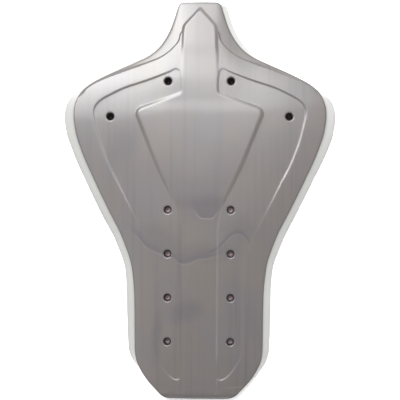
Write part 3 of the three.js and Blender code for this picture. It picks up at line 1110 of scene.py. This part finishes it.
@dataclass(frozen=True)
class MouldedSkin:
    """Polyurethane foam with a skin of its own, cast against a satin mould.

    The skin is smooth to the hand and reflects softly. Flow of the foam in the mould
    leaves slow cloudy tones, a wavy flow front and faint upright streaks, and the
    mould's surface leaves a very fine grain. Marks on the mesh add painted light on the
    side walls and the lower vents' webs, and painted shade along edges and in the vents.

    Attributes:
        face: Colour of the face.
        cloud: Colour of the darker, warmer clouds on it.
        tint: Colour of the cooler ones.
        streak: Colour of the streaks and stains.
        pale: Colour of the pale line below a front.
        wall: Colour painted on the side walls, paler than the face: painted light for the bright
            floor that they reflect.
        line: Colour of the painted shade along the crease, the face's edges, the groove under
            them and the foot of the side wall.
        vent: Colour of the painted shade on the walls of the vents, darker deeper down them.
        web: Colour painted on the thin webs inside the lower vents: painted light for the light
            seen down them.
        roughness: Roughness of the skin, that of a satin mould.
        ior: Its index of refraction, that of polyurethane.
        cloud_mm: Width and length of the clouds.
        cloud_limits: Values of the noise where they start and are at their fullest.
        streak_mm: Width and length of the streaks.
        streak_limits: Values of the noise where they start and are at their fullest.
        patches_up: Patches of that noise in a metre of height.
        grain_mm: Size of the grain, drawn coarser than the real one so that it shows.
        grain_depth_mm: Its depth.
        grain_strength: Share of that depth that the light sees.
        wander_mm: How far the stains' edges wander.
        front_wander_mm: How far the flow fronts wander.
        wander_waves: Waves of that in a metre.
        stain_core: Where in a stain, from its edge in, it is at its fullest.
        stains: The stains.
        fronts: The flow fronts, and a pale line at the lower right that is a painted highlight
            along a small flash ridge.
    """

    face: str = "#514b49"
    cloud: str = "#4e4a45"
    tint: str = "#4c494b"
    streak: str = "#403d41"
    pale: str = "#6b6563"
    # Painted light: wall makes the side walls paler than the face.
    wall: str = "#888886"
    # Painted shade: line darkens the crease, the face's edges, the groove and the wall's foot.
    line: str = "#2e2b2b"
    # Painted shade: vent darkens the walls of the vents.
    vent: str = "#1a1516"
    # Painted light: web makes the webs of the lower vents pale.
    web: str = "#998a8c"
    roughness: float = 0.29
    ior: float = 1.53
    cloud_mm: tuple[float, float] = (48, 48)
    cloud_limits: tuple[float, float] = (0.25, 0.75)
    streak_mm: tuple[float, float] = (5, 220)
    streak_limits: tuple[float, float] = (0.45, 1.0)
    patches_up: float = 18
    grain_mm: float = 1.4
    grain_depth_mm: float = 0.3
    grain_strength: float = 0.08
    wander_mm: float = 7
    front_wander_mm: float = 2.5
    wander_waves: float = 45
    stain_core: float = 0.8
    stains: tuple[Stain, ...] = (
        Stain((-46, -42), (40, 18), -20, 0.35),
        Stain((4, -58), (60, 16), 4, 0.3),
        Stain((50, -34), (28, 20), -10, 0.3),
        Stain((9, -4), (26, 20), 10, 0.35),
        Stain((-13, -122), (26, 17), 20, 0.5),
        Stain((-84, 62), (40, 24), 60, 0.5),
        Stain((-46, -150), (9, 44), -8, 0.4),
        Stain((62, -140), (9, 50), 6, 0.15),
    )
    fronts: tuple[FlowFront, ...] = (
        FlowFront(
            ((-82, -28), (-70, -40), (-58, -51), (-46, -58), (-36, -62), (-27, -65))
            + ((-20, -70), (-12, -69.5), (-3, -66), (9, -63.5), (20, -61), (30, -60)),
            reach=13,
            dark=0.75,
            pale=0.15,
            edge=1.6,
            fade=18,
        ),
        FlowFront(
            ((8, -60), (17, -57), (24, -51), (30, -44), (37, -38.5), (44, -37), (50, -40))
            + ((56, -49), (61, -60)),
            reach=7,
            dark=1,
            pale=0.1,
            edge=1.6,
        ),
        FlowFront(
            ((-9, -5), (-3, -14), (5, -19), (12, -19.5), (19, -15), (25, -5)),
            reach=16,
            dark=0.7,
            pale=0.35,
        ),
        # Only a pale line: a painted highlight along a small flash ridge at the lower right.
        FlowFront(
            ((27, -207), (38, -206.3), (52, -204.8)), reach=2, dark=0, pale=0.3, line=1.5
        ),
    )

    def patches(
        self,
        tree: bpy.types.NodeTree,
        place: bpy.types.NodeSocket,
        size: tuple[float, float],
        shift: float,
        limits: tuple[float, float],
    ) -> bpy.types.NodeSocket:
        """Adds a soft noise.

        Args:
            tree: The material's nodes.
            place: Where on the pad the skin is, in metres.
            size: The size of its patches along x and y, in millimetres.
            shift: How far it is shifted, to make it unlike others.
            limits: The noise's values that give 0 and 1.

        Returns:
            The noise's strength.
        """
        scale = (1 / MM / size[0], 1 / MM / size[1], self.patches_up)
        spread = {"Location": (shift, shift, 0), "Scale": scale}
        stretched = add_node(tree, "Mapping", spread, {"Vector": place}).outputs["Vector"]
        soft = {"Scale": 1.0, "Detail": 4.0, "Roughness": 0.55}
        value = add_node(tree, "TexNoise", soft, {"Vector": stretched}).outputs["Fac"]
        step = {"interpolation_type": "SMOOTHSTEP", "From Min": limits[0], "From Max": limits[1]}
        return add_node(tree, "MapRange", step, {"Value": value}).outputs["Result"]

    def wandering(
        self, tree: bpy.types.NodeTree, place: bpy.types.NodeSocket, wander: float
    ) -> bpy.types.NodeSocket:
        """Adds a place that wanders off the true one.

        Args:
            tree: The material's nodes.
            place: Where on the pad the skin is, in metres.
            wander: How far it wanders, in millimetres.

        Returns:
            The place.
        """
        waves = {"Scale": self.wander_waves, "Detail": 2.0}
        drift = add_node(tree, "TexNoise", waves, {"Vector": place}).outputs["Color"]
        centred = {"operation": "SUBTRACT", 1: (0.5, 0.5, 0.5)}
        off = add_node(tree, "VectorMath", centred, {0: drift}).outputs[0]
        reach = 2 * wander * MM
        moved = {"operation": "MULTIPLY_ADD", 1: (reach, reach, 0)}
        return add_node(tree, "VectorMath", moved, {0: off, 2: place}).outputs[0]

    def stained(
        self, tree: bpy.types.NodeTree, place: bpy.types.NodeSocket
    ) -> bpy.types.NodeSocket:
        """Adds the stains.

        Args:
            tree: The material's nodes.
            place: Where on the pad the skin is, in metres.

        Returns:
            Their strength.
        """
        wandered = self.wandering(tree, place, self.wander_mm)
        total = None
        for stain in self.stains:
            patch = {
                "vector_type": "TEXTURE",
                "Location": (stain.place[0] * MM, stain.place[1] * MM, 0),
                "Rotation": (0, 0, math.radians(stain.turn)),
                "Scale": (stain.size[0] * MM, stain.size[1] * MM, 1),
            }
            spot = add_node(tree, "Mapping", patch, {"Vector": wandered}).outputs["Vector"]
            ball = add_node(
                tree, "TexGradient", {"gradient_type": "SPHERICAL"}, {"Vector": spot}
            )
            fullest = {"From Max": self.stain_core, "To Max": stain.strength}
            fullest["interpolation_type"] = "SMOOTHSTEP"
            soft = add_node(tree, "MapRange", fullest, {"Value": ball.outputs["Fac"]})
            if total is not None:
                either = {0: soft.outputs["Result"], 1: total}
                soft = add_node(tree, "Math", {"operation": "MAXIMUM"}, either)
            total = soft.outputs[0]
        return total

    def material(self) -> bpy.types.Material:
        """Makes the material.

        Returns:
            The material.
        """
        skin = bpy.data.materials.new("moulded_pu_foam_skin")
        skin.use_nodes = True
        tree = skin.node_tree
        shader = tree.nodes["Principled BSDF"]
        place = add_node(tree, "TexCoord").outputs["Object"]
        drift = self.wandering(tree, place, self.front_wander_mm)
        shares = [
            (self.cloud, self.patches(tree, place, self.cloud_mm, 0, self.cloud_limits)),
            (self.tint, self.patches(tree, place, self.cloud_mm, 5.3, self.cloud_limits)),
            (self.streak, self.patches(tree, place, self.streak_mm, 2.1, self.streak_limits)),
            (self.streak, self.stained(tree, place)),
        ]
        for front in self.fronts:
            shares += zip((self.streak, self.pale), front.tones(tree, drift))
        # The marks paint light on the side walls and the lower vents' webs, and shade along the
        # crease, the edges and in the vents.
        for mark in Mark:
            share = add_node(tree, "Attribute", {"attribute_name": mark.value})
            shares.append((self.mark_colour(mark), share.outputs["Fac"]))
        below = {}
        for code, share in shares:
            colours = {"data_type": "RGBA", 6: linear(self.face), 7: linear(code)}
            mixed = add_node(tree, "Mix", colours, {"Factor": share, **below})
            below = {6: mixed.outputs[2]}
        tree.links.new(mixed.outputs[2], shader.inputs["Base Color"])
        fine = {"Scale": 1 / MM / self.grain_mm, "Detail": 2.0}
        grain = add_node(tree, "TexNoise", fine, {"Vector": place}).outputs["Fac"]
        depth = {"Strength": self.grain_strength, "Distance": self.grain_depth_mm * MM}
        relief = add_node(tree, "Bump", depth, {"Height": grain})
        tree.links.new(relief.outputs["Normal"], shader.inputs["Normal"])
        shader.inputs["Roughness"].default_value = self.roughness
        shader.inputs["IOR"].default_value = self.ior
        return skin

    def mark_colour(self, mark: Mark) -> str:
        """Returns the colour painted where a mark lies: painted light or painted shade."""
        colours = {Mark.WALL: self.wall, Mark.LINE: self.line, Mark.VENT: self.vent}
        return colours.get(mark, self.web)


@dataclass(frozen=True)
class Softbox:
    """A soft studio light.

    Attributes:
        name: Its name.
        place: Its place, in metres. It hangs level and shines down.
        size: Its width and length, in metres.
        brightness: Its radiance, in watts a steradian and square metre.
    """

    name: str
    place: tuple[float, float, float]
    size: tuple[float, float]
    brightness: float

    def make(self) -> bpy.types.Object:
        """Makes the light.

        Returns:
            The lamp.
        """
        data = bpy.data.lights.new(self.name, "AREA")
        data.shape = "RECTANGLE"
        data.size, data.size_y = self.size
        data.energy = self.brightness * math.pi * self.size[0] * self.size[1]
        lamp = bpy.data.objects.new(self.name, data)
        lamp.location = self.place
        bpy.context.scene.collection.objects.link(lamp)
        return lamp


@dataclass
class Studio:
    """The pale floor, the soft lights and the camera.

    Attributes:
        floor_colour: Colour of the floor.
        floor_size: Its side, in metres.
        left_card: Brightness of the low white card that stands to the left.
        right_card: Brightness of the one to the right.
        card_top: Where the cards end, as the sine of its elevation.
        card_fade: How far to either side of that the change reaches.
        card_reach: Sine of the angle at which a card's brightness is its own.
        bright_way: The way to the room's bright side, level and of length 1.
        bright_side: Brightness of that side.
        dim_side: Brightness of the side across from it.
        side_reach: Sine of the angle at which a side's brightness is its own.
        eye: The camera's place, in metres: straight above, a little to the right.
        look_at: The point in the middle of the picture.
        view_width: Width that the picture takes in at that point, in metres.
        roll: Turn of the camera about its own axis, in degrees.
        softboxes: The lights.
    """

    floor_colour: str = "#fafafa"
    floor_size: float = 6
    left_card: float = 0.9
    right_card: float = 4.5
    card_top: float = 0.2
    card_fade: float = 0.07
    card_reach: float = 0.7
    bright_way: tuple[float, float, float] = (-0.45, 0.89, 0)
    bright_side: float = 1.3
    dim_side: float = 0.6
    side_reach: float = 0.9
    eye: tuple[float, float, float] = (0.03, 0, 1.02)
    look_at: tuple[float, float, float] = (0.001, 0.0002, 0.016)
    view_width: float = 0.4415
    roll: float = 0.22
    softboxes: tuple[Softbox, ...] = (
        Softbox("left_softbox", (-0.49, 0.785, 1.2), (0.63, 0.87), 19.3),
        Softbox("middle_softbox", (-0.065, 0.5, 1.2), (0.23, 0.52), 10),
        Softbox("right_softbox", (0.17, 0.73, 1.2), (0.24, 1), 11),
        Softbox("corner_softbox", (0.65, 1.1, 1.2), (0.6, 0.6), 4),
        Softbox("back_softbox", (-0.1, 1.75, 1), (1, 0.5), 5),
        Softbox("side_softbox", (-0.65, -0.35, 1.2), (0.35, 0.7), 2.2),
    )

    def floor(self) -> None:
        """Makes the floor."""
        bpy.ops.object.select_all(action="DESELECT")
        bpy.ops.mesh.primitive_plane_add(size=self.floor_size)
        plane = bpy.context.object
        plane.name = "studio_floor"
        # Matt backdrop paper, which shows soft shadows and no highlight
        paper = bpy.data.materials.new("pale_paper")
        paper.use_nodes = True
        shader = paper.node_tree.nodes["Principled BSDF"]
        shader.inputs["Base Color"].default_value = linear(self.floor_colour)
        shader.inputs["Roughness"].default_value = 0.9
        plane.data.materials.append(paper)

    def room(self) -> None:
        """Makes the room: dim, with low white cards all round."""
        world = bpy.data.worlds.new("dim_room")
        world.use_nodes = True
        tree = world.node_tree
        way = add_node(tree, "TexCoord").outputs["Generated"]
        split = add_node(tree, "SeparateXYZ", links={"Vector": way})
        towards = {"operation": "DOT_PRODUCT", 1: self.bright_way}
        facing = add_node(tree, "VectorMath", towards, {0: way}).outputs["Value"]
        sides = {"From Min": -self.side_reach, "From Max": self.side_reach}
        sides |= {"To Min": self.dim_side, "To Max": self.bright_side}
        walls = add_node(tree, "MapRange", sides, {"Value": facing}).outputs["Result"]
        smooth = {"interpolation_type": "SMOOTHSTEP"}
        cards = {"From Min": -self.card_reach, "From Max": self.card_reach}
        cards |= {"To Min": self.left_card, "To Max": self.right_card}
        card = add_node(tree, "MapRange", smooth | cards, {"Value": split.outputs["X"]})
        rise = {"From Min": self.card_top - self.card_fade}
        rise["From Max"] = self.card_top + self.card_fade
        ends = {"To Min": card.outputs["Result"], "To Max": walls}
        strength = add_node(
            tree, "MapRange", smooth | rise, {"Value": split.outputs["Z"], **ends}
        )
        back = tree.nodes["Background"]
        back.inputs["Color"].default_value = linear("#ffffff")
        tree.links.new(strength.outputs["Result"], back.inputs["Strength"])
        bpy.context.scene.world = world

    def camera(self) -> None:
        """Makes the camera, which looks straight down on the pad."""
        data = bpy.data.cameras.new("camera")
        aim = Vector(self.look_at) - Vector(self.eye)
        data.sensor_width = 36  # millimetres
        data.lens = data.sensor_width * aim.length / self.view_width
        camera = bpy.data.objects.new("camera", data)
        camera.location = self.eye
        straight_down = Vector((0, 0, -1))
        turn = straight_down.rotation_difference(aim).to_matrix()
        roll = Matrix.Rotation(math.radians(self.roll), 3, "Z")
        camera.rotation_euler = (turn @ roll).to_euler()
        bpy.context.scene.collection.objects.link(camera)
        bpy.context.scene.camera = camera

    def make(self) -> None:
        """Makes the floor, the room, the lights and the camera."""
        self.camera()
        self.floor()
        self.room()
        for softbox in self.softboxes:
            softbox.make()
        bpy.context.scene.view_settings.view_transform = "Standard"


def write_sizes() -> None:
    bpy.context.view_layer.update()


def main() -> None:
    """Makes the studio and the pad."""
    logging.basicConfig(level=logging.INFO, format="%(name)s: %(message)s")
    Studio().make()
    FoamPad().make()
    write_sizes()


if __name__ == "__main__":
    main()
